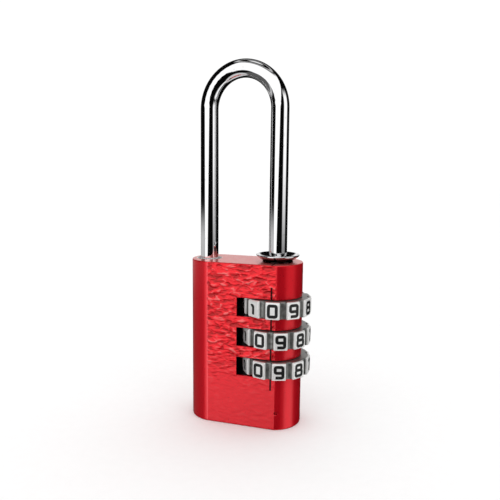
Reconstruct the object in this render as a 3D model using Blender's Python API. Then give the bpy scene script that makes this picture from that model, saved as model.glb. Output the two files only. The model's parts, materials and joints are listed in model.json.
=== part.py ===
"""Resettable three-dial combination padlock with a long shackle, locked.

Metres, +Z up. The origin is the centre of the body's bottom face, the front
face looks along -Y, and the dials and the shackle's heel leg share one
vertical axis at x = AXIS_X.
"""

import math

import bmesh
import bpy
from mathutils import Matrix, Vector

MM = 0.001
GAP = 0.3 * MM  # running clearance between neighbouring pieces

# Body: a flat front and back between two rounded ends
BODY_WIDTH = 31.7 * MM
BODY_DEPTH = 14.8 * MM
BODY_HEIGHT = 45.6 * MM
FACE_LEFT = -9.0 * MM  # where the flat faces end, and the rounded ends start
FACE_RIGHT = 10.5 * MM
BOTTOM_ROUNDING = 0.4 * MM
TOP_ROUNDING = 0.3 * MM

# Shackle
AXIS_X = 8.9 * MM  # heel leg, and the dials
TOE_X = -11.2 * MM
WIRE_RADIUS = 2.5 * MM
SHACKLE_RISE = 54.3 * MM  # top of the arch above the body's top face
ARCH_HEIGHT = 10.5 * MM  # of the centre line above the straight legs, a little over half its span
TOE_DEPTH = 7.0 * MM
TOE_HOLE_DEPTH = 8.0 * MM
TOE_COUNTERSINK = 0.9 * MM
END_CHAMFER = 0.6 * MM

# Dials and their sleeves
DIAL_COUNT = 3
DIGITS = 10
DIAL_PITCH = 8.3 * MM
LOWEST_DIAL_Z = 17.1 * MM
POCKET_HEIGHT = 5.15 * MM
POCKET_RADIUS = 11.85 * MM
DIAL_HEIGHT = 4.75 * MM
PAD_RADIUS = 9.5 * MM  # at the corners of the flat number pads
PAD_HALF_ANGLE = 11.0
NOTCH_RADIUS = 8.5 * MM
DIAL_ROUNDING = 0.5 * MM
DIAL_PHASES = (43.5, 22.0, 20.0)  # degrees from -Y towards +X to a pad, top dial first
BORE_RADIUS = 5.7 * MM  # the body's long bore
STACK_RADIUS = BORE_RADIUS - GAP
SLEEVE_HEIGHT = 6.0 * MM
SLEEVE_RADIUS = 4.7 * MM
SPLINE_HEIGHT = 0.6 * MM
SPLINE_HALF_ANGLE = 5.5
SPLINE_SIDE_ANGLE = 3.3  # clearance beside each spline

# Lugs on the heel leg, and the rings around them
LUG_HEIGHT = 1.7 * MM
LUG_HALF_WIDTH = 0.95 * MM
LUG_REACH = 3.75 * MM
RING_INNER_RADIUS = 4.2 * MM

# Heel collar, a pressed-in flanged bush
COLLAR_RADIUS = 5.9 * MM
COLLAR_HEIGHT = 2.1 * MM
COLLAR_DISH = 1.5 * MM
COLLAR_LIP = 0.3 * MM
COLLAR_SPIGOT_RADIUS = 3.9 * MM
COLLAR_SPIGOT_DEPTH = 3.6 * MM

# Detent leaves in the pockets
LEAF_THICKNESS = 0.3 * MM
LEAF_HEIGHT = 3.0 * MM
LEAF_TAB_ANGLE = -120.0
LEAF_TIP_ANGLE = -104.5
LEAF_TAB_RADIUS = 12.9 * MM
LEAF_PRESSED = 0.5 * MM  # how far a pad pushes the leaf's tip out

# Bottom end
PLUG_RECESS = 0.3 * MM
PLUG_TOP = 6.4 * MM
PLUG_SPIGOT_RADIUS = 0.65 * MM
PLUG_SPIGOT_TOP = 11.0 * MM
PIN_X = 10.85 * MM
PIN_Z = 4.8 * MM
PIN_RADIUS = 0.3 * MM
PIN_GAP = 0.15 * MM
PIN_OUTER_END = -7.1 * MM
PIN_INNER_END = -2.5 * MM
HEEL_BORE_RADIUS = 1.75 * MM
HEEL_BORE_TOP = 20.2 * MM
SHACKLE_COIL_RADIUS = 1.2 * MM
SHACKLE_COIL_WIRE = 0.22 * MM
SHACKLE_COIL_TURNS = 10
RESET_COIL_RADIUS = 4.6 * MM
RESET_COIL_WIRE = 0.35 * MM
RESET_COIL_TURNS = 3
WASHER_HEIGHT = 1.0 * MM

# Index line, engraved in the front face beside the dials
INDEX_X = 9.3 * MM
INDEX_BOTTOM = 11.2 * MM
INDEX_TOP = 39.6 * MM
INDEX_WIDTH = 0.35 * MM
INDEX_DEPTH = 0.3 * MM

ROUND_STEPS = 40
EDGE_STEPS = 3
SMOOTH_ANGLE = math.radians(32)

LUG_DROP = SLEEVE_HEIGHT / 2 + GAP  # from a dial's middle down to the top of its lug
BORE_TOP = LOWEST_DIAL_Z + (DIAL_COUNT - 1) * DIAL_PITCH + LUG_DROP + LUG_HEIGHT + GAP
HEEL_END = LOWEST_DIAL_Z - LUG_DROP - LUG_HEIGHT - GAP


def dial_height(number):
    """Height of the middle of dial 1 (top) to 3 (bottom)."""
    return LOWEST_DIAL_Z + (DIAL_COUNT - number) * DIAL_PITCH


def clear_scene():
    for obj in list(bpy.data.objects):
        bpy.data.objects.remove(obj, do_unlink=True)


def material(name, color, roughness, metallic):
    made = bpy.data.materials.new(name)
    made.use_nodes = True
    shader = made.node_tree.nodes["Principled BSDF"]
    shader.inputs["Base Color"].default_value = (*color, 1)
    shader.inputs["Roughness"].default_value = roughness
    shader.inputs["Metallic"].default_value = metallic
    return made


def add_object(name, bm, finish=None, origin=(0, 0, 0), parent=None):
    """Makes an object of a bmesh given in world space, with its origin at the point given."""
    bmesh.ops.recalc_face_normals(bm, faces=bm.faces)
    bmesh.ops.translate(bm, verts=bm.verts, vec=-Vector(origin))
    mesh = bpy.data.meshes.new(name)
    bm.to_mesh(mesh)
    bm.free()
    mesh.shade_smooth()
    mesh.set_sharp_from_angle(angle=SMOOTH_ANGLE)
    obj = bpy.data.objects.new(name, mesh)
    bpy.context.collection.objects.link(obj)
    obj.location = origin
    if parent:
        obj.parent = parent
        obj.location = Vector(origin) - parent.location
    if finish:
        mesh.materials.append(finish)
    return obj


def add_axis(name, location):
    empty = bpy.data.objects.new(name, None)
    empty.empty_display_size = 5 * MM
    empty.location = location
    bpy.context.collection.objects.link(empty)
    return empty


def cutter(name, bm):
    obj = add_object(name, bm)
    obj.hide_render = True
    obj.display_type = "WIRE"
    return obj


def boolean(obj, tool, operation="DIFFERENCE"):
    modifier = obj.modifiers.new(tool.name, "BOOLEAN")
    modifier.operation = operation
    modifier.solver = "EXACT"
    modifier.object = tool


def loft(loops, closed=False):
    """Skins a list of point loops of equal length; capped at both ends unless closed on itself."""
    bm = bmesh.new()
    rings = [[bm.verts.new(point) for point in loop] for loop in loops]
    pairs = list(zip(rings, rings[1:]))
    if closed:
        pairs.append((rings[-1], rings[0]))
    for lower, upper in pairs:
        count = len(lower)
        for i in range(count):
            j = (i + 1) % count
            bm.faces.new((lower[i], lower[j], upper[j], upper[i]))
    if not closed:
        bm.faces.new(rings[0])
        bm.faces.new(rings[-1])
    return bm


def circle(radius, z, center=(AXIS_X, 0), steps=ROUND_STEPS):
    points = []
    for i in range(steps):
        angle = math.tau * i / steps
        points.append((center[0] + radius * math.cos(angle), center[1] + radius * math.sin(angle), z))
    return points


def cylinder(radius, z_low, z_high, center=(AXIS_X, 0), steps=ROUND_STEPS):
    return loft([circle(radius, z, center, steps) for z in (z_low, z_high)])


def turned(profile, closed=True, center=(AXIS_X, 0), steps=ROUND_STEPS):
    """Turns (radius, z) points about a vertical axis; a closed profile makes a ring."""
    return loft([circle(radius, z, center, steps) for radius, z in profile], closed)


def box(low, high):
    bm = bmesh.new()
    bmesh.ops.create_cube(bm, size=1)
    size = Vector(high) - Vector(low)
    middle = (Vector(high) + Vector(low)) / 2
    bmesh.ops.transform(bm, matrix=Matrix.Translation(middle) @ Matrix.Diagonal((*size, 1)), verts=bm.verts)
    return bm


def polar(angle, radius, z):
    """A point around the dial axis; the angle runs in degrees from the front (-Y) towards +X."""
    turn = math.radians(angle)
    return (AXIS_X + radius * math.sin(turn), -radius * math.cos(turn), z)


def end_arc(edge, face_end):
    """Centre and radius of the arc through a rounded end's outermost point and its two edges."""
    sagitta = abs(edge - face_end)
    radius = ((BODY_DEPTH / 2) ** 2 + sagitta**2) / (2 * sagitta)
    return edge - math.copysign(radius, edge), radius


def body_outline(inset, z, steps=24):
    """Both flat faces and both rounded ends, drawn in by the inset."""
    points = []
    for side, face_end in ((1, FACE_RIGHT), (-1, FACE_LEFT)):
        center, radius = end_arc(side * BODY_WIDTH / 2, face_end)
        radius -= inset
        limit = math.asin((BODY_DEPTH / 2 - inset) / radius)
        for i in range(steps + 1):
            angle = limit * (2 * i / steps - 1)
            points.append((center + side * radius * math.cos(angle), side * radius * math.sin(angle), z))
    return points


def pin_cylinder(radius, y_low, y_high, steps=20):
    """A cylinder along Y at the plug pin's place."""
    loops = []
    for y in (y_low, y_high):
        loop = []
        for i in range(steps):
            angle = math.tau * i / steps
            loop.append((PIN_X + radius * math.cos(angle), y, PIN_Z + radius * math.sin(angle)))
        loops.append(loop)
    return loft(loops)


def make_body(finish):
    turns = [math.pi / 2 * i / EDGE_STEPS for i in range(EDGE_STEPS + 1)]
    loops = []
    for turn in turns:
        inset = BOTTOM_ROUNDING * (1 - math.sin(turn))
        loops.append(body_outline(inset, BOTTOM_ROUNDING * (1 - math.cos(turn))))
    for turn in turns:
        drop = TOP_ROUNDING * (1 - math.sin(turn))
        loops.append(body_outline(TOP_ROUNDING * (1 - math.cos(turn)), BODY_HEIGHT - drop))
    body = add_object("body", loft(loops), finish)
    past = 1 * MM
    for number in range(1, DIAL_COUNT + 1):
        z = dial_height(number)
        low, high = z - POCKET_HEIGHT / 2, z + POCKET_HEIGHT / 2
        pocket = cylinder(POCKET_RADIUS, low, high, steps=56)
        boolean(body, cutter(f"cut_pocket_{number}", pocket))
        boolean(body, cutter(f"cut_leaf_slot_{number}", leaf_slot(z)))
    boolean(body, cutter("cut_bore", cylinder(BORE_RADIUS, -past, BORE_TOP)))
    boolean(body, cutter("cut_heel_hole", cylinder(WIRE_RADIUS + GAP, BORE_TOP - past, BODY_HEIGHT + past)))
    seat_bottom = BODY_HEIGHT - COLLAR_SPIGOT_DEPTH - GAP
    seat = cylinder(COLLAR_SPIGOT_RADIUS + GAP, seat_bottom, BODY_HEIGHT + past)
    boolean(body, cutter("cut_collar_seat", seat))
    boolean(body, cutter("cut_toe_hole", toe_hole()))
    boolean(body, cutter("cut_pin_hole", pin_cylinder(PIN_RADIUS + PIN_GAP, -BODY_DEPTH, 0)))
    boolean(body, cutter("cut_index", index_groove()))
    return body


def toe_hole():
    """Blind hole for the toe leg, with a countersunk mouth that runs on past the top face."""
    radius = WIRE_RADIUS + GAP
    past = 1 * MM
    profile = (
        (radius, BODY_HEIGHT - TOE_HOLE_DEPTH),
        (radius, BODY_HEIGHT - TOE_COUNTERSINK),
        (radius + TOE_COUNTERSINK, BODY_HEIGHT),
        (radius + TOE_COUNTERSINK, BODY_HEIGHT + past),
    )
    return turned(profile, closed=False, center=(TOE_X, 0))


def index_groove():
    """A V groove down the front face."""
    front = -BODY_DEPTH / 2
    half = INDEX_WIDTH / 2
    loops = []
    for z in (INDEX_BOTTOM, INDEX_TOP):
        loops.append(
            [
                (INDEX_X - half, front - INDEX_DEPTH, z),
                (INDEX_X + half, front - INDEX_DEPTH, z),
                (INDEX_X + half, front + INDEX_DEPTH / 3, z),
                (INDEX_X, front + INDEX_DEPTH, z),
                (INDEX_X - half, front + INDEX_DEPTH / 3, z),
            ]
        )
    return loft(loops)


def leaf_slot(z):
    """The slit in a pocket's wall that takes the tab of its detent leaf."""
    half_width = LEAF_THICKNESS / 2 + GAP
    low, high = POCKET_RADIUS - 1 * MM, LEAF_TAB_RADIUS + GAP
    half_height = LEAF_HEIGHT / 2 + GAP
    out = Vector(polar(LEAF_TAB_ANGLE, 1, 0)) - Vector((AXIS_X, 0, 0))
    along = Vector((-out.y, out.x, 0))
    axis = Vector((AXIS_X, 0, 0))
    loops = []
    for height in (z - half_height, z + half_height):
        loop = []
        for reach, side in ((low, -1), (high, -1), (high, 1), (low, 1)):
            loop.append(axis + out * reach + along * side * half_width + Vector((0, 0, height)))
        loops.append(loop)
    return loft(loops)


def shackle_section(middle, across, radius, steps=32):
    """A round section whose plane holds Y and the direction across."""
    points = []
    for i in range(steps):
        angle = math.tau * i / steps
        points.append(middle + across * radius * math.cos(angle) + Vector((0, radius * math.sin(angle), 0)))
    return points


def make_shackle(finish):
    half_span = (AXIS_X - TOE_X) / 2
    arch_middle = Vector((TOE_X + half_span, 0, BODY_HEIGHT + SHACKLE_RISE - WIRE_RADIUS - ARCH_HEIGHT))
    toe_end = BODY_HEIGHT - TOE_DEPTH
    end_radius = WIRE_RADIUS - END_CHAMFER
    left, right = Vector((-1, 0, 0)), Vector((1, 0, 0))
    loops = [
        shackle_section(Vector((TOE_X, 0, toe_end)), left, end_radius),
        shackle_section(Vector((TOE_X, 0, toe_end + END_CHAMFER)), left, WIRE_RADIUS),
    ]
    arch_steps = 40
    for i in range(arch_steps + 1):
        angle = math.pi * (1 - i / arch_steps)
        across, up = math.cos(angle), math.sin(angle)
        middle = arch_middle + Vector((half_span * across, 0, ARCH_HEIGHT * up))
        out = Vector((across / half_span, 0, up / ARCH_HEIGHT)).normalized()
        loops.append(shackle_section(middle, out, WIRE_RADIUS))
    chamfer = END_CHAMFER / 2
    loops.append(shackle_section(Vector((AXIS_X, 0, HEEL_END + chamfer)), right, WIRE_RADIUS))
    loops.append(shackle_section(Vector((AXIS_X, 0, HEEL_END)), right, WIRE_RADIUS - chamfer))
    shackle = add_object("shackle", loft(loops), finish, origin=(AXIS_X, 0, BODY_HEIGHT))
    for number in range(1, DIAL_COUNT + 1):
        top = dial_height(number) - LUG_DROP
        low = (AXIS_X - LUG_REACH, -LUG_HALF_WIDTH, top - LUG_HEIGHT)
        boolean(shackle, cutter(f"lug_{number}", box(low, (AXIS_X, LUG_HALF_WIDTH, top))), "UNION")
    bore = cylinder(HEEL_BORE_RADIUS, HEEL_END - 1 * MM, HEEL_BORE_TOP, steps=20)
    boolean(shackle, cutter("cut_heel_bore", bore))
    return shackle


def make_heel_collar(finish):
    """A bush pressed into the body, with a flared flange whose top is a polished dish."""
    top = BODY_HEIGHT + COLLAR_HEIGHT
    bore = WIRE_RADIUS + GAP
    profile = [
        (bore, BODY_HEIGHT - COLLAR_SPIGOT_DEPTH),
        (COLLAR_SPIGOT_RADIUS, BODY_HEIGHT - COLLAR_SPIGOT_DEPTH),
        (COLLAR_SPIGOT_RADIUS, BODY_HEIGHT + GAP),
        (COLLAR_SPIGOT_RADIUS + GAP, BODY_HEIGHT + GAP),
    ]
    lip_steps = 6
    for i in range(lip_steps + 1):
        turn = math.pi * (i / lip_steps - 1 / 4)
        radius = COLLAR_RADIUS - COLLAR_LIP * (1 - math.cos(turn))
        profile.append((radius, top - COLLAR_LIP * (1 - math.sin(turn))))
    dish_radius = COLLAR_RADIUS - 2 * COLLAR_LIP - bore
    dish_steps = 6
    for i in range(1, dish_steps + 1):
        inward = i / dish_steps
        profile.append((bore + dish_radius * (1 - inward), top - COLLAR_LIP - COLLAR_DISH * inward**0.8))
    return add_object("heel_collar", turned(profile, steps=56), finish)


def dial_outline(phase, inset, z):
    """Ten flat pads with rounded notches between them."""
    step = 360 / DIGITS
    floor = (step / 2 - PAD_HALF_ANGLE) * 0.6
    points = []
    for i in range(DIGITS):
        pad = phase + i * step
        notch = pad + step / 2
        points.append(polar(pad - PAD_HALF_ANGLE, PAD_RADIUS - inset, z))
        points.append(polar(pad + PAD_HALF_ANGLE, PAD_RADIUS - inset, z))
        points.append(polar(notch - floor, NOTCH_RADIUS - inset / 2, z))
        points.append(polar(notch, NOTCH_RADIUS - 0.1 * MM - inset / 2, z))
        points.append(polar(notch + floor, NOTCH_RADIUS - inset / 2, z))
    return points


def splined_outline(radius, half_angle, z):
    """A circle of the radius given with one spline per digit standing out of it."""
    step = 360 / DIGITS
    points = []
    for i in range(DIGITS):
        middle = i * step
        points.append(polar(middle - half_angle, radius, z))
        points.append(polar(middle - half_angle, radius + SPLINE_HEIGHT, z))
        points.append(polar(middle + half_angle, radius + SPLINE_HEIGHT, z))
        points.append(polar(middle + half_angle, radius, z))
        points.append(polar(middle + step / 2, radius, z))
    return points


def make_dial(number, finish, axis):
    z = dial_height(number)
    phase = DIAL_PHASES[number - 1]
    half = DIAL_HEIGHT / 2
    loops = []
    for height, inset in ((0, 1), (0.1, 0.55), (0.4, 0.15), (1, 0)):
        loops.append(dial_outline(phase, inset * DIAL_ROUNDING, z - half + height * DIAL_ROUNDING))
    for height, inset in ((1, 0), (0.4, 0.15), (0.1, 0.55), (0, 1)):
        loops.append(dial_outline(phase, inset * DIAL_ROUNDING, z + half - height * DIAL_ROUNDING))
    dial = add_object(f"dial_{number}", loft(loops), finish, origin=axis.location, parent=axis)
    past = 1 * MM
    loops = []
    for height in (z - half - past, z + half + past):
        loops.append(splined_outline(SLEEVE_RADIUS + GAP, SPLINE_HALF_ANGLE + SPLINE_SIDE_ANGLE, height))
    boolean(dial, cutter(f"cut_dial_bore_{number}", loft(loops)))
    return dial


def make_clutch_sleeve(number, finish, axis):
    z = dial_height(number)
    half = SLEEVE_HEIGHT / 2
    loops = [splined_outline(SLEEVE_RADIUS, SPLINE_HALF_ANGLE, z + side * half) for side in (-1, 1)]
    sleeve = add_object(f"clutch_sleeve_{number}", loft(loops), finish, origin=axis.location, parent=axis)
    past = 1 * MM
    bore = cylinder(WIRE_RADIUS + GAP, z - half - past, z + half + past, steps=32)
    boolean(sleeve, cutter(f"cut_sleeve_bore_{number}", bore))
    reach = LUG_REACH + 1.5 * GAP
    width = LUG_HALF_WIDTH + GAP
    gate = box((AXIS_X - reach, -width, z - half - past), (AXIS_X, width, z + half + past))
    boolean(sleeve, cutter(f"cut_gate_{number}", gate))
    return sleeve


def make_ring(name, bottom, height, finish):
    """A flat ring that fills the body's bore around the lugs."""
    top = bottom + height
    profile = (
        (RING_INNER_RADIUS, bottom),
        (STACK_RADIUS, bottom),
        (STACK_RADIUS, top),
        (RING_INNER_RADIUS, top),
    )
    return add_object(name, turned(profile), finish)


def make_detent_leaf(number, finish):
    """A bent strip of spring steel: a tab in the pocket's wall and a pointed tip at the dial."""
    z = dial_height(number)
    step = 360 / DIGITS
    off_pad = (LEAF_TIP_ANGLE - DIAL_PHASES[number - 1] + step / 2) % step - step / 2
    pressed = LEAF_PRESSED if abs(off_pad) < PAD_HALF_ANGLE else 0
    tip = LEAF_TIP_ANGLE
    tip_radius = PAD_RADIUS - 0.15 * MM + pressed
    wall = POCKET_RADIUS - GAP - LEAF_THICKNESS / 2
    shoulder = tip_radius + 0.55 * MM
    path = [
        (LEAF_TAB_ANGLE, LEAF_TAB_RADIUS),
        (LEAF_TAB_ANGLE, wall),
        (LEAF_TAB_ANGLE + 4, wall),
        (tip - 6, wall - 0.3 * (wall - tip_radius)),
        (tip - 3, shoulder),
        (tip, tip_radius),
        (tip + 3, shoulder),
        (tip + 6, shoulder),
    ]
    points = [Vector(polar(angle, radius, 0)) for angle, radius in path]
    half = LEAF_THICKNESS / 2
    left, right = [], []
    for i, point in enumerate(points):
        before = points[max(i - 1, 0)]
        after = points[min(i + 1, len(points) - 1)]
        first = (point - before).normalized() if i else (after - point).normalized()
        second = (after - point).normalized() if i < len(points) - 1 else first
        normal = Vector((-first.y, first.x, 0)) + Vector((-second.y, second.x, 0))
        normal = normal.normalized() * half / max(0.5, math.cos(first.angle(second) / 2))
        left.append(point + normal)
        right.append(point - normal)
    loops = []
    for side in (-1, 1):
        lift = Vector((0, 0, z + side * LEAF_HEIGHT / 2))
        loops.append([point + lift for point in left + right[::-1]])
    return add_object(f"detent_spring_{number}", loft(loops), finish)


def make_coil(name, bottom, top, coil_radius, wire_radius, turns, finish, steps=14, sides=6):
    """A round-wire helix whose wire just reaches the two heights given."""
    low = bottom + wire_radius * 1.15
    rise = top - bottom - 2.3 * wire_radius
    slope = rise / (turns * math.tau * coil_radius)
    loops = []
    count = turns * steps
    for i in range(count + 1):
        angle = math.tau * turns * i / count
        out = Vector((math.cos(angle), math.sin(angle), 0))
        ahead = Vector((-out.y, out.x, slope)).normalized()
        up = ahead.cross(out).normalized() * -1
        middle = Vector((AXIS_X, 0, low + rise * i / count)) + out * coil_radius
        loop = []
        for k in range(sides):
            turn = math.tau * k / sides
            loop.append(middle + (out * math.cos(turn) + up * math.sin(turn)) * wire_radius)
        loops.append(loop)
    return add_object(name, loft(loops), finish)


def make_bottom_plug(finish):
    chamfer = 0.3 * MM
    profile = (
        (STACK_RADIUS - chamfer, PLUG_RECESS),
        (STACK_RADIUS, PLUG_RECESS + chamfer),
        (STACK_RADIUS, PLUG_TOP),
        (PLUG_SPIGOT_RADIUS, PLUG_TOP),
        (PLUG_SPIGOT_RADIUS, PLUG_SPIGOT_TOP),
    )
    plug = add_object("bottom_plug", turned(profile, closed=False), finish)
    hole = pin_cylinder(PIN_RADIUS + PIN_GAP, -BODY_DEPTH, PIN_INNER_END + GAP)
    boolean(plug, cutter("cut_plug_pin_hole", hole))
    return plug


def make_plug_pin(finish):
    return add_object("plug_pin", pin_cylinder(PIN_RADIUS, PIN_OUTER_END, PIN_INNER_END), finish)


def main():
    clear_scene()
    red_anodised = material("red_anodised", (0.62, 0.025, 0.035), 0.35, 0.9)
    shackle_chrome = material("shackle_chrome", (0.8, 0.8, 0.82), 0.06, 1.0)
    collar_chrome = material("collar_chrome", (0.78, 0.78, 0.8), 0.1, 1.0)
    make_body(red_anodised)
    make_shackle(shackle_chrome)
    make_heel_collar(collar_chrome)
    for number in range(1, DIAL_COUNT + 1):
        axis = add_axis(f"dial_axis_{number}", (AXIS_X, 0, dial_height(number)))
        dial_finish = material(f"dial_zinc_{number}", (0.72, 0.72, 0.7), 0.35, 0.8)
        make_dial(number, dial_finish, axis)
        sleeve_finish = material(f"sleeve_brass_{number}", (0.72, 0.52, 0.2), 0.35, 0.9)
        make_clutch_sleeve(number, sleeve_finish, axis)
        leaf_finish = material(f"leaf_steel_{number}", (0.55, 0.56, 0.58), 0.3, 1.0)
        make_detent_leaf(number, leaf_finish)
        ring_finish = material(f"ring_steel_{number}", (0.5, 0.5, 0.5), 0.4, 1.0)
        make_ring(f"spacer_ring_{number}", dial_height(number) + LUG_DROP, LUG_HEIGHT, ring_finish)
    lowest = HEEL_END + GAP
    ring_finish = material("ring_steel_4", (0.5, 0.5, 0.5), 0.4, 1.0)
    make_ring("spacer_ring_4", lowest, LUG_HEIGHT, ring_finish)
    washer_bottom = lowest - GAP - WASHER_HEIGHT
    washer_finish = material("washer_steel", (0.5, 0.5, 0.5), 0.4, 1.0)
    make_ring("reset_washer", washer_bottom, WASHER_HEIGHT, washer_finish)
    coil_bottom = PLUG_TOP + GAP
    make_coil(
        "shackle_spring",
        coil_bottom,
        HEEL_BORE_TOP - GAP,
        SHACKLE_COIL_RADIUS,
        SHACKLE_COIL_WIRE,
        SHACKLE_COIL_TURNS,
        material("shackle_spring_steel", (0.6, 0.6, 0.62), 0.3, 1.0),
    )
    make_coil(
        "reset_spring",
        coil_bottom,
        washer_bottom - GAP,
        RESET_COIL_RADIUS,
        RESET_COIL_WIRE,
        RESET_COIL_TURNS,
        material("reset_spring_steel", (0.6, 0.6, 0.62), 0.3, 1.0),
        steps=20,
    )
    make_bottom_plug(material("plug_aluminium", (0.62, 0.06, 0.07), 0.4, 0.9))
    make_plug_pin(material("pin_steel", (0.4, 0.4, 0.42), 0.35, 1.0))


main()
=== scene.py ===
"""Looks of the three-dial combination padlock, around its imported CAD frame."""

import json
import math

import bmesh
import bpy
from mathutils import Matrix, Vector


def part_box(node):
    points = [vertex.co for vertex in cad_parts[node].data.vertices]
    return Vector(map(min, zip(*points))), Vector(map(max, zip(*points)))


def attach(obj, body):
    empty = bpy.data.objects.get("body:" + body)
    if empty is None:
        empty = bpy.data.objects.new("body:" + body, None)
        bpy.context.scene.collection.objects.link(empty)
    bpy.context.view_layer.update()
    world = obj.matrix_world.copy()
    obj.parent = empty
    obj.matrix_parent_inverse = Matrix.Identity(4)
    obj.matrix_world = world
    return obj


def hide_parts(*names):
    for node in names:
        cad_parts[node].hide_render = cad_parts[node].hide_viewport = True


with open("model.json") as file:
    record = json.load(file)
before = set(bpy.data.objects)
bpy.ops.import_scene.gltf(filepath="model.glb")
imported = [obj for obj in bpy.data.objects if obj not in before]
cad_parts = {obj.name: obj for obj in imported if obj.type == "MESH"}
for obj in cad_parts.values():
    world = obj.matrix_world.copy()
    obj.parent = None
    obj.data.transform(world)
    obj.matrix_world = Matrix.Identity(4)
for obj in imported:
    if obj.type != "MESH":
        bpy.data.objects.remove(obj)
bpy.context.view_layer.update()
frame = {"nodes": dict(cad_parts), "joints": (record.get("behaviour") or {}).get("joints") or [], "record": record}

MM = 0.001
NODES = frame["nodes"]
SLOTS = {part["node"]: part["material_slot"] for part in frame["record"]["subparts"]}
BODY_OF = {
    node: body for body, members in frame["record"]["behaviour"]["bodies"].items() for node in members
}
TURNS = {joint["child"]: joint for joint in frame["joints"] if joint["type"] == "hinge"}
BODY_LOW, BODY_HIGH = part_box("body")
AXIS_X = TURNS["dial_1"]["pos_m"][0]

# The camera stands a little to the right and above, close to the lock
CAMERA_PLACE = (48.8 * MM, -149.6 * MM, 70.2 * MM)
CAMERA_AZIMUTH = 17.77
CAMERA_PITCH = 7.93
CAMERA_ROLL = 0.55
CAMERA_LENS = 41.0
CAMERA_SENSOR = 36.0

# Body: its flat faces end, and its rounded ends start, at these two places
FACE_LEFT = -9.0 * MM
FACE_RIGHT = 10.5 * MM
INDEX_X = 9.3 * MM
TOE_X = -11.2 * MM
COUNTERSINK_RADIUS = 3.7 * MM
COUNTERSINK_DEPTH = 0.9 * MM

# Dials, each with the angle in degrees from the front (-Y) towards +X at which its 9 stands
NINE_ANGLES = {"dial_1": 43.5, "dial_2": 22.0, "dial_3": 20.0}
DIGITS = 10
PAD_RADIUS = 9.5 * MM
PAD_HALF_ANGLE = 11.0
NOTCH_RADIUS = 8.5 * MM

# Welding and rounding of the CAD nodes' meshes
WELD = 0.001 * MM
SPLINTER = 0.04 * MM
FLAT = math.radians(0.5)
SMOOTH = math.radians(32)
SHARP_EDGE = math.radians(45)  # edges sharper than this are rounded
WIRE_EDGE = math.radians(70)
PIN_ROUNDING = 0.05 * MM
ROUNDINGS = {
    "red_anodised": 0.12 * MM,
    "shackle_chrome": 0.12 * MM,
    "collar_chrome": 0.1 * MM,
    "dial_nickel": 0.1 * MM,
    "sleeve_brass": 0.08 * MM,
    "inner_steel": 0.08 * MM,
    "spring_steel": 0.02 * MM,
    "plug_aluminium": 0.1 * MM,
}

# Body's colours
RED_SMOOTH = (0.82, 0.004, 0.016)
RED_DEEP = (0.52, 0.001, 0.004)
RED_BRIGHT = (1.0, 0.006, 0.018)
# painted highlight on the brushing streaks' highest ridges
RED_STREAK_HIGHLIGHT = (1.0, 0.15, 0.15)
# painted highlight along the edge at the left end of the faces
RED_EDGE_HIGHLIGHT = (1.0, 0.07, 0.09)
# painted sheen on the top face
RED_TOP_SHEEN = (0.8, 0.22, 0.2)
# painted shade in the index groove and the dials' pockets
RED_INSIDE_SHADE = (0.012, 0.001, 0.001)
BARE_METAL = (0.95, 0.94, 0.93)

# Body's brushing: noises, given as cycles per metre along X, Y and Z, and how much of each
STREAKS = (420, 420, 950)
FINE_STREAKS = (600, 600, 4200)
GRAIN = (2500, 2500, 2500)
FINE_SHARE = 0.1
GRAIN_SHARE = 0.015
STREAK_MIDDLE = 0.55
STREAK_RELIEF = 0.5 * MM
BRUSH_LEAST = 0.08
BRUSH_LEAST_Z = 9 * MM
BRUSH_FULL_Z = 24 * MM

# Colours of the other metals
CHROME = (0.93, 0.93, 0.94)
CHROME_SPECK = (0.8, 0.8, 0.8)
# Painted shade under the collar's lip, reaching this far below the collar's top
COLLAR_SHADE = (0.05, 0.04, 0.04)
SHADE_DEPTH = 0.9 * MM  # below the collar's lip
PAD_DULL = (0.84, 0.84, 0.82)
PAD_BRIGHT = (1.0, 1.0, 0.99)
# the notches' darker colours are partly their own tone and partly painted shade down in the recesses
NOTCH_SHADED_DARK = (0.04, 0.04, 0.04)
NOTCH_LIGHT = (0.4, 0.4, 0.38)
INK_DARK = (0.003, 0.003, 0.003)
INK_LIGHT = (0.012, 0.012, 0.012)
FLOOR_DARK = (0.96, 0.96, 0.96)
FLOOR_LIGHT = (0.99, 0.99, 0.99)
TURNED = (900, 900, 6000)  # tool marks, as cycles per metre along X, Y and Z
TURNED_COARSE = (5000, 5000, 900)
DRAWN = (4000, 4000, 900)
METALS = {  # material's name, dark and light colour, roughness, tool marks
    "sleeve_brass": ("turned_brass", (0.5, 0.32, 0.1), (0.8, 0.58, 0.24), 0.3, TURNED),
    "inner_steel": ("ground_steel", (0.33, 0.33, 0.34), (0.6, 0.6, 0.6), 0.35, TURNED),
    "spring_steel": ("drawn_spring_steel", (0.4, 0.41, 0.43), (0.66, 0.67, 0.69), 0.25, DRAWN),
    "plug_aluminium": (
        "turned_dyed_aluminium", (0.42, 0.005, 0.012), (0.7, 0.02, 0.03), 0.35, TURNED_COARSE,
    ),
}

# Studio
FLOOR_RADIUS = 6.0
WHITE = (1, 1, 1, 1)
EVEN_STRENGTH = 1.06
AMBIENT = 0.002
LOWEST_SLANT = -10.0  # a slanted edge is upright below this elevation
PANELS = (  # azimuths from and to, elevations from and to, level, blur across and up, slant
    (-60, -11, -29, 56, 1.12, (2, 5), 1.6),  # large, front left
    (46, 90, -5, 27, 1.1, (5, 8), 0.0),  # right
    (44, 88, -65, -14.5, 1.0, (8, 4), 0.0),  # right, low
    (-155, -62, -60, -5, 0.1, (3, 3), 0.0),  # left, low
    (-155, -62, -11, -5, 0.5, (3, 2), 0.0),  # strip on top of it
    (-200, 200, 62, 68, 0.45, (3, 2), 0.0),  # ring overhead
    (-200, 200, 80, 100, 0.8, (3, 3), 0.0),  # straight above
    (-200, 200, -100, -60, 0.6, (3, 3), 0.0),  # straight below
)
BACK_PANEL = (150, 4, 32, 0.9, 8)  # azimuth, elevations from and to, level, blur


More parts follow.
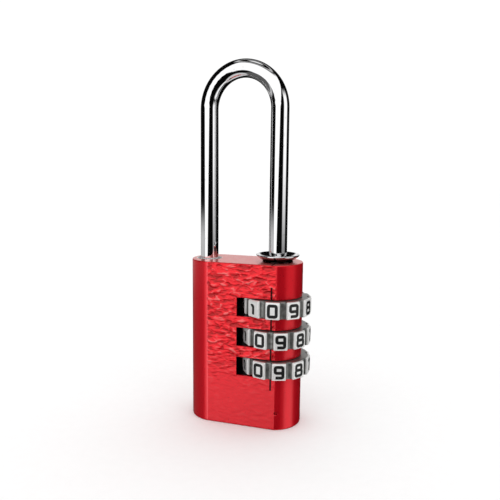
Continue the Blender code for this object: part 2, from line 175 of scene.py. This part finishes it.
class Nodes:
    """A node tree, with short calls for the nodes that materials and the studio share."""

    def node(self, kind, **settings):
        made = self.tree.nodes.new(kind)
        for name, value in settings.items():
            setattr(made, name, value)
        return made

    def feed(self, socket, value):
        if isinstance(value, bpy.types.NodeSocket):
            self.tree.links.new(value, socket)
        else:
            socket.default_value = value

    def split(self, vector):
        made = self.node("ShaderNodeSeparateXYZ")
        self.feed(made.inputs[0], vector)
        return made.outputs

    def math(self, operation, first, second=0.0, third=0.0):
        made = self.node("ShaderNodeMath", operation=operation)
        for socket, value in zip(made.inputs, (first, second, third)):
            self.feed(socket, value)
        return made.outputs[0]

    def ramp(self, value, low, high, to_low=0.0, to_high=1.0):
        """Smoothly from to_low to to_high as value goes from low to high."""
        made = self.node("ShaderNodeMapRange", interpolation_type="SMOOTHSTEP")
        for socket, item in zip(made.inputs, (value, low, high, to_low, to_high)):
            self.feed(socket, item)
        return made.outputs[0]

    def product(self, *values):
        total = values[0]
        for value in values[1:]:
            total = self.math("MULTIPLY", total, value)
        return total


class Shader(Nodes):
    """A material, with short calls for the nodes used here."""

    def __init__(self, name):
        self.material = bpy.data.materials.new(name)
        self.material.use_nodes = True
        self.tree = self.material.node_tree
        self.principled = self.tree.nodes["Principled BSDF"]

    def place(self):
        return self.node("ShaderNodeTexCoord").outputs["Object"]

    def distance(self, x, y, center_x):
        """Distance from a vertical line through (center_x, 0)."""
        across = self.math("SUBTRACT", x, center_x)
        return self.math("SQRT", self.math("MULTIPLY_ADD", across, across, self.math("MULTIPLY", y, y)))

    def near(self, value, middle, full, none):
        """1 up to full away from the middle, 0 from none away."""
        away = self.math("ABSOLUTE", self.math("SUBTRACT", value, middle))
        return self.ramp(away, full, none, 1.0, 0.0)

    def noise(self, vector, scale, stretch=(1, 1, 1), detail=3.0, roughness=0.5, distortion=0.0):
        mapping = self.node("ShaderNodeMapping")
        self.feed(mapping.inputs["Vector"], vector)
        mapping.inputs["Scale"].default_value = stretch
        made = self.node("ShaderNodeTexNoise")
        self.feed(made.inputs["Vector"], mapping.outputs[0])
        made.inputs["Scale"].default_value = scale
        made.inputs["Detail"].default_value = detail
        made.inputs["Roughness"].default_value = roughness
        made.inputs["Distortion"].default_value = distortion
        return made.outputs["Fac"]

    def mix(self, factor, first, second):
        made = self.node("ShaderNodeMix", data_type="RGBA")
        self.feed(made.inputs[0], factor)
        self.feed(made.inputs[6], (*first, 1) if isinstance(first, tuple) else first)
        self.feed(made.inputs[7], (*second, 1) if isinstance(second, tuple) else second)
        return made.outputs[2]

    def bump(self, height, distance, strength=1.0):
        made = self.node("ShaderNodeBump")
        self.feed(made.inputs["Height"], height)
        self.feed(made.inputs["Distance"], distance)
        self.feed(made.inputs["Strength"], strength)
        return made.outputs[0]

    def set(self, **sockets):
        for name, value in sockets.items():
            self.feed(self.principled.inputs[name.replace("_", " ")], value)


# Materials


def end_circle(edge, face_end):
    """Centre and radius of the arc through a rounded end's outermost point and its two edges."""
    sagitta = abs(edge - face_end)
    radius = (BODY_HIGH.y**2 + sagitta**2) / (2 * sagitta)
    return edge - math.copysign(radius, edge), radius


def depth_below_surface(s, x, y):
    """How far inside the body's outline a point lies."""
    depth = s.math("SUBTRACT", BODY_HIGH.y, s.math("ABSOLUTE", y))
    for edge, face_end, side in ((BODY_HIGH.x, FACE_RIGHT, 1), (BODY_LOW.x, FACE_LEFT, -1)):
        center, radius = end_circle(edge, face_end)
        beyond = s.math("MAXIMUM", s.product(s.math("SUBTRACT", x, center), side), 0.0)
        reach = s.math("SQRT", s.math("MULTIPLY_ADD", beyond, beyond, s.math("MULTIPLY", y, y)))
        depth = s.math("MINIMUM", depth, s.math("SUBTRACT", radius, reach))
    return depth


def red_anodised():
    """Dyed aluminium: the flat faces are brushed across, most of all at the top; the ends are smooth."""
    s = Shader("red_anodised_brushed")
    place = s.place()
    x, y, z = s.split(place)
    depth = depth_below_surface(s, x, y)
    streaks = s.noise(place, 1, STREAKS, 1.5, 0.45, 0.5)
    fine = s.noise(place, 1, FINE_STREAKS, 2, 0.6, 0.3)
    grain = s.noise(place, 1, GRAIN, 2)

    # Brushing, on the flat faces
    brushing = s.product(
        s.ramp(z, BRUSH_LEAST_Z, BRUSH_FULL_Z, BRUSH_LEAST, 1.0),
        s.ramp(s.math("ABSOLUTE", y), BODY_HIGH.y - 0.03 * MM, BODY_HIGH.y - 0.01 * MM),
        s.ramp(x, FACE_LEFT - 0.1 * MM, FACE_LEFT + 0.3 * MM),
        s.ramp(x, FACE_RIGHT - 0.3 * MM, FACE_RIGHT + 0.1 * MM, 1.0, 0.0),
    )
    uneven = s.math("SUBTRACT", s.math("MULTIPLY_ADD", fine, FINE_SHARE, streaks), STREAK_MIDDLE)
    height = s.math("MULTIPLY_ADD", grain, GRAIN_SHARE, s.product(uneven, brushing))
    normal = s.bump(height, STREAK_RELIEF)
    brushed = s.mix(s.ramp(streaks, 0.34, 0.54), RED_DEEP, RED_BRIGHT)
    # Painted highlight: the highest streaks are turned pale
    brushed = s.mix(s.ramp(streaks, 0.54, 0.72), brushed, RED_STREAK_HIGHLIGHT)
    color = s.mix(brushing, RED_SMOOTH, brushed)

    # Painted highlight along the edge at the left end of the faces, and a painted sheen that makes the top face
    # paler
    edge_highlight = s.product(
        s.near(x, FACE_LEFT, 0.05 * MM, 0.35 * MM),
        s.ramp(depth, 0.02 * MM, 0.05 * MM, 1.0, 0.0),
    )
    color = s.mix(edge_highlight, color, RED_EDGE_HIGHLIGHT)
    # Painted sheen: the top face is made paler
    top = s.product(
        s.ramp(z, BODY_HIGH.z - 0.1 * MM, BODY_HIGH.z - 0.02 * MM),
        s.ramp(streaks, 0.3, 0.7, 0.6, 1.0),
    )
    color = s.mix(top, color, RED_TOP_SHEEN)

    # Painted shade: the index groove and the dials' pockets are darkened
    groove_shade = s.product(
        s.near(x, INDEX_X, 0.2 * MM, 0.3 * MM),
        s.ramp(depth, 0.03 * MM, 0.12 * MM),
    )
    pocket_shade = s.product(
        s.ramp(depth, 0.15 * MM, 0.9 * MM),
        s.ramp(z, BODY_HIGH.z - 6 * MM, BODY_HIGH.z - 5 * MM, 1.0, 0.0),
    )
    color = s.mix(s.math("MAXIMUM", groove_shade, pocket_shade), color, RED_INSIDE_SHADE)

    # The toe hole's countersink is cut after dyeing
    bare = s.product(
        s.ramp(s.distance(x, y, TOE_X), COUNTERSINK_RADIUS - 0.02 * MM, COUNTERSINK_RADIUS, 1.0, 0.0),
        s.ramp(z, BODY_HIGH.z - COUNTERSINK_DEPTH - 0.3 * MM, BODY_HIGH.z - COUNTERSINK_DEPTH),
    )
    color = s.mix(bare, color, BARE_METAL)

    s.set(Base_Color=color, Metallic=s.ramp(bare, 0, 1, 0.64, 0.4), Normal=normal)
    s.set(Roughness=s.ramp(grain, 0.2, 0.8, 0.27, 0.35), Specular_IOR_Level=0.3)
    s.set(Coat_Weight=0.36, Coat_Roughness=0.15, Coat_IOR=1.7, Coat_Normal=normal)
    return s.material


def chrome(name, roughness, shaded_below=None):
    """Bright plating with the faintest ripple and a few dull specks, darkened with painted shade below the height
    given.
    """
    s = Shader(name)
    place = s.place()
    ripple = s.noise(place, 90, (1, 1, 0.25), 2)
    specks = s.ramp(s.noise(place, 1400, (1, 1, 0.6), 2), 0.62, 0.74)
    color = s.mix(specks, CHROME, CHROME_SPECK)
    # Painted shade below the height given
    if shaded_below:
        painted_shade = s.ramp(s.split(place)[2], shaded_below - 0.1 * MM, shaded_below + 0.2 * MM, 1.0, 0.0)
        color = s.mix(painted_shade, color, COLLAR_SHADE)
    s.set(Base_Color=color, Metallic=1.0)
    s.set(Roughness=s.ramp(specks, 0, 1, roughness, roughness + 0.12))
    s.set(Normal=s.bump(ripple, 0.02 * MM, 0.3))
    return s.material


def dial_nickel():
    """Pale satin pads, with duller metal down in the notches, darkened there partly with painted shade."""
    s = Shader("dial_nickel_satin")
    place = s.place()
    x, y = s.split(place)[:2]
    grain = s.noise(place, 1, (1500, 1500, 7000), 2)
    blotch = s.noise(place, 900, detail=2)
    pad = s.mix(grain, PAD_DULL, PAD_BRIGHT)
    notch = s.mix(blotch, NOTCH_SHADED_DARK, NOTCH_LIGHT)
    out = s.ramp(s.distance(x, y, AXIS_X), NOTCH_RADIUS + 0.25 * MM, PAD_RADIUS - 0.35 * MM)
    s.set(Base_Color=s.mix(out, notch, pad), Metallic=s.ramp(out, 0, 1, 0.75, 0.42))
    s.set(Roughness=s.ramp(blotch, 0.3, 0.7, 0.3, 0.42))
    s.set(Normal=s.bump(grain, 0.012 * MM, 0.6))
    return s.material


def ink():
    """Glossy black paint, a little uneven."""
    s = Shader("digit_black")
    grain = s.noise(s.place(), 3000)
    s.set(Base_Color=s.mix(grain, INK_DARK, INK_LIGHT))
    s.set(Roughness=s.ramp(grain, 0.3, 0.7, 0.35, 0.5))
    s.set(Normal=s.bump(grain, 0.01 * MM, 0.5))
    return s.material


def plain_metal(name, dark, light, roughness, stretch):
    """Machined or drawn metal, with its tool marks along or across by the stretch."""
    s = Shader(name)
    grain = s.noise(s.place(), 1, stretch, 2)
    s.set(Base_Color=s.mix(grain, dark, light), Metallic=1.0)
    s.set(Roughness=s.ramp(grain, 0.2, 0.8, roughness - 0.06, roughness + 0.06))
    s.set(Normal=s.bump(grain, 0.01 * MM, 0.5))
    return s.material


# Pieces


def add_piece(name, mesh, body, material):
    obj = bpy.data.objects.new(name, mesh)
    bpy.context.collection.objects.link(obj)
    mesh.materials.clear()
    mesh.materials.append(material)
    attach(obj, body)
    return obj


def finished(node, material, rounding, sharp=SHARP_EDGE):
    """A welded, smooth copy of a CAD node with its sharp edges rounded, shown in the node's place."""
    bm = bmesh.new()
    bm.from_mesh(NODES[node].data)
    bmesh.ops.remove_doubles(bm, verts=bm.verts, dist=WELD)
    bmesh.ops.dissolve_limit(bm, angle_limit=FLAT, verts=bm.verts, edges=bm.edges)
    bmesh.ops.dissolve_degenerate(bm, dist=SPLINTER, edges=bm.edges)
    mesh = bpy.data.meshes.new(f"{node}_finished")
    bm.to_mesh(mesh)
    bm.free()
    mesh.shade_smooth()
    mesh.set_sharp_from_angle(angle=SMOOTH)
    piece = add_piece(f"{node}_finished", mesh, BODY_OF[node], material)
    bevel = piece.modifiers.new("rounding", "BEVEL")
    bevel.width = rounding
    bevel.segments = 2
    bevel.limit_method = "ANGLE"
    bevel.angle_limit = sharp
    bevel.use_clamp_overlap = False
    normals = piece.modifiers.new("normals", "WEIGHTED_NORMAL")
    normals.keep_sharp = True
    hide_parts(node)
    return piece


# Numbers on the dials: bars along these paths, in half widths and half heights of a number's middle line

NUMBER_HALF_WIDTH = 1.04 * MM
NUMBER_HALF_HEIGHT = 1.47 * MM
BAR_WIDTH = 0.8 * MM
BAR_CORNER = 0.42 * MM
BAR_SINK = 0.1 * MM
BAR_PROUD = 0.04 * MM
BAR_STEP = 0.004 * MM  # bars of one number that meet lie at slightly different heights
CORNER_STEPS = 5
RINGS = {
    0: [[(-1, -1), (-1, 1), (1, 1), (1, -1)]],
    6: [[(-1, -1), (-1, 0.1), (1, 0.1), (1, -1)]],
    8: [[(-0.9, 0.05), (-0.9, 1), (0.9, 1), (0.9, 0.05)], [(-1, -1), (-1, 0.05), (1, 0.05), (1, -1)]],
    9: [[(-1, -0.1), (-1, 1), (1, 1), (1, -0.1)]],
}
BARS = {
    1: [[(-0.6, 0.55), (0.1, 1), (0.1, -1)]],
    2: [[(-1, 1), (1, 1), (1, 0), (-1, 0), (-1, -1), (1, -1)]],
    3: [[(-1, 1), (1, 1), (1, -1), (-1, -1)], [(-0.3, 0), (1, 0)]],
    4: [[(-1, 1), (-1, -0.15), (1, -0.15)], [(0.8, 1), (0.8, -1)]],
    5: [[(1, 1), (-1, 1), (-1, 0), (1, 0), (1, -1), (-1, -1)]],
    6: [[(-1, -0.5), (-1, 1), (0.9, 1)]],
    7: [[(-1, 1), (1, 1), (-0.2, -1)]],
    9: [[(1, 0.5), (1, -1), (-0.9, -1)]],
}


def rounded(points, closed):
    """The path in metres, with its corners turned into arcs."""
    points = [Vector((x * NUMBER_HALF_WIDTH, y * NUMBER_HALF_HEIGHT)) for x, y in points]
    path = []
    for i, point in enumerate(points):
        if not closed and i in (0, len(points) - 1):
            path.append(point)
            continue
        back = (points[i - 1] - point).normalized()
        ahead = (points[(i + 1) % len(points)] - point).normalized()
        half = back.angle(ahead) / 2
        center = point + (back + ahead).normalized() * BAR_CORNER / math.sin(half)
        start = point + back * BAR_CORNER / math.tan(half) - center
        sweep = math.copysign(math.pi - 2 * half, back.cross(ahead) * -1)
        for k in range(CORNER_STEPS + 1):
            turn = Matrix.Rotation(sweep * k / CORNER_STEPS, 2)
            path.append(center + turn @ start)
    return path


def add_bar(bm, path, closed, top, place):
    """A flat bar along the path; place turns a point on the pad and a height into a point in space."""
    rows = []
    for i, point in enumerate(path):
        last = len(path) - 1
        before = path[i - 1] if closed or i > 0 else point
        after = path[(i + 1) % len(path)] if closed or i < last else point
        ahead = (after - before).normalized()
        side = Vector((-ahead.y, ahead.x)) * BAR_WIDTH / 2
        low = [place(point + side, -BAR_SINK), place(point - side, -BAR_SINK)]
        high = [place(point - side, top), place(point + side, top)]
        rows.append([bm.verts.new(corner) for corner in low + high])
    pairs = list(zip(rows, rows[1:]))
    if closed:
        pairs.append((rows[-1], rows[0]))
    else:
        bm.faces.new(rows[0])
        bm.faces.new(rows[-1][::-1])
    for first, second in pairs:
        for k in range(4):
            n = (k + 1) % 4
            bm.faces.new((first[k], second[k], second[n], first[n]))


def add_numbers(dial, material):
    """The ten numbers of one dial, on its flat pads."""
    z = TURNS[dial]["pos_m"][2]
    pad_depth = PAD_RADIUS * math.cos(math.radians(PAD_HALF_ANGLE))
    bm = bmesh.new()
    for number in range(DIGITS):
        angle = math.radians(NINE_ANGLES[dial] + (DIGITS - 1 - number) * 360 / DIGITS)
        out = Vector((math.sin(angle), -math.cos(angle), 0))
        right = Vector((math.cos(angle), math.sin(angle), 0))

        def place(point, height):
            on_pad = right * point.x + Vector((0, 0, point.y))
            return Vector((AXIS_X, 0, z)) + out * (pad_depth + height) + on_pad

        paths = [(points, True) for points in RINGS.get(number, [])]
        paths += [(points, False) for points in BARS.get(number, [])]
        for i, (points, closed) in enumerate(paths):
            add_bar(bm, rounded(points, closed), closed, BAR_PROUD - i * BAR_STEP, place)
    bmesh.ops.recalc_face_normals(bm, faces=bm.faces)
    mesh = bpy.data.meshes.new(f"{dial}_numbers")
    bm.to_mesh(mesh)
    bm.free()
    add_piece(f"{dial}_numbers", mesh, dial, material)


def make_pieces():
    collar_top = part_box("heel_collar")[1].z
    looks = {slot: plain_metal(*metal) for slot, metal in METALS.items()}
    looks["red_anodised"] = red_anodised()
    looks["shackle_chrome"] = chrome("shackle_plating", 0.03)
    looks["collar_chrome"] = chrome("collar_plating", 0.05, collar_top - SHADE_DEPTH)
    looks["dial_nickel"] = dial_nickel()
    for node, slot in SLOTS.items():
        if node == "plug_pin":
            finished(node, looks["plug_aluminium"], PIN_ROUNDING)
        elif slot == "spring_steel":
            finished(node, looks[slot], ROUNDINGS[slot], WIRE_EDGE)
        else:
            finished(node, looks[slot], ROUNDINGS[slot])
    black = ink()
    for dial in TURNS:
        add_numbers(dial, black)


# Studio


class Studio(Nodes):
    """The world: even white all round, and panels that only shiny surfaces mirror.

    A panel's azimuth is in degrees from the camera's side, positive to its right, and its
    elevation in degrees above the horizon.
    """

    def __init__(self):
        world = bpy.data.worlds.new("studio")
        bpy.context.scene.world = world
        world.use_nodes = True
        self.tree = world.node_tree
        self.tree.nodes.clear()
        turned = self.node("ShaderNodeVectorRotate", rotation_type="Z_AXIS")
        self.feed(turned.inputs["Vector"], self.node("ShaderNodeTexCoord").outputs["Generated"])
        self.feed(turned.inputs["Angle"], math.radians(90 - CAMERA_AZIMUTH))
        x, y, z = self.split(turned.outputs[0])
        degree = math.degrees(1)
        self.azimuth = self.math("MULTIPLY", self.math("ARCTAN2", y, x), degree)
        self.elevation = self.math("MULTIPLY", self.math("ARCSINE", z), degree)

    def above(self, value, place, blur):
        """0 well below the place, 1 well above it."""
        return self.ramp(value, place - blur, place + blur)

    def below(self, value, place, blur):
        return self.math("SUBTRACT", 1.0, self.above(value, place, blur))

    def panel(self, left, right, low, high, level, blur, slant):
        """A lit panel; its right edge moves right by slant degrees for each degree up."""
        up = self.math("MAXIMUM", self.elevation, LOWEST_SLANT)
        slanted = self.math("MULTIPLY_ADD", up, -slant, self.azimuth)
        return self.product(
            self.above(self.azimuth, left, blur[0]),
            level,
            self.below(slanted, right, blur[0]),
            self.below(self.elevation, high, blur[1]),
            self.above(self.elevation, low, blur[1]),
        )

    def back_panel(self, left, low, high, level, blur):
        """A panel behind the lock, from the azimuth given round to its mirror image."""
        return self.product(
            self.above(self.math("ABSOLUTE", self.azimuth), left, blur),
            level,
            self.below(self.elevation, high, blur),
            self.above(self.elevation, low, blur),
        )

    def background(self, strength):
        made = self.node("ShaderNodeBackground")
        self.feed(made.inputs["Color"], WHITE)
        self.feed(made.inputs["Strength"], strength)
        return made.outputs[0]

    def finish(self, panels):
        total = panels[0]
        for panel in panels[1:]:
            total = self.math("MAXIMUM", total, panel)
        mixer = self.node("ShaderNodeMixShader")
        self.feed(mixer.inputs[0], self.node("ShaderNodeLightPath").outputs["Is Glossy Ray"])
        self.feed(mixer.inputs[1], self.background(EVEN_STRENGTH))
        self.feed(mixer.inputs[2], self.background(self.math("ADD", total, AMBIENT)))
        self.feed(self.node("ShaderNodeOutputWorld").inputs["Surface"], mixer.outputs[0])


def make_studio():
    studio = Studio()
    studio.finish([studio.panel(*panel) for panel in PANELS] + [studio.back_panel(*BACK_PANEL)])


def make_floor():
    """A wide flat floor; shiny surfaces mirror the studio's panels instead of it."""
    mesh = bpy.data.meshes.new("floor")
    bm = bmesh.new()
    bmesh.ops.create_circle(bm, cap_ends=True, radius=FLOOR_RADIUS, segments=64)
    bm.to_mesh(mesh)
    bm.free()
    floor = bpy.data.objects.new("floor", mesh)
    bpy.context.collection.objects.link(floor)
    s = Shader("pale_floor")
    paper = s.noise(s.place(), 400, detail=2)
    s.set(Base_Color=s.mix(paper, FLOOR_DARK, FLOOR_LIGHT), Roughness=0.9)
    s.set(Specular_IOR_Level=0.0)
    mesh.materials.append(s.material)
    floor.visible_glossy = False


def make_camera():
    data = bpy.data.cameras.new("camera")
    data.lens = CAMERA_LENS
    data.sensor_width = CAMERA_SENSOR
    data.clip_start = 0.01
    camera = bpy.data.objects.new("camera", data)
    bpy.context.collection.objects.link(camera)
    turn = Matrix.Rotation(math.radians(CAMERA_AZIMUTH), 4, "Z")
    tilt = Matrix.Rotation(math.radians(90 - CAMERA_PITCH), 4, "X")
    roll = Matrix.Rotation(math.radians(CAMERA_ROLL), 4, "Z")
    camera.matrix_world = Matrix.Translation(CAMERA_PLACE) @ turn @ tilt @ roll
    bpy.context.scene.camera = camera


bpy.context.scene.view_settings.view_transform = "Standard"
make_camera()
make_studio()
make_floor()
make_pieces()
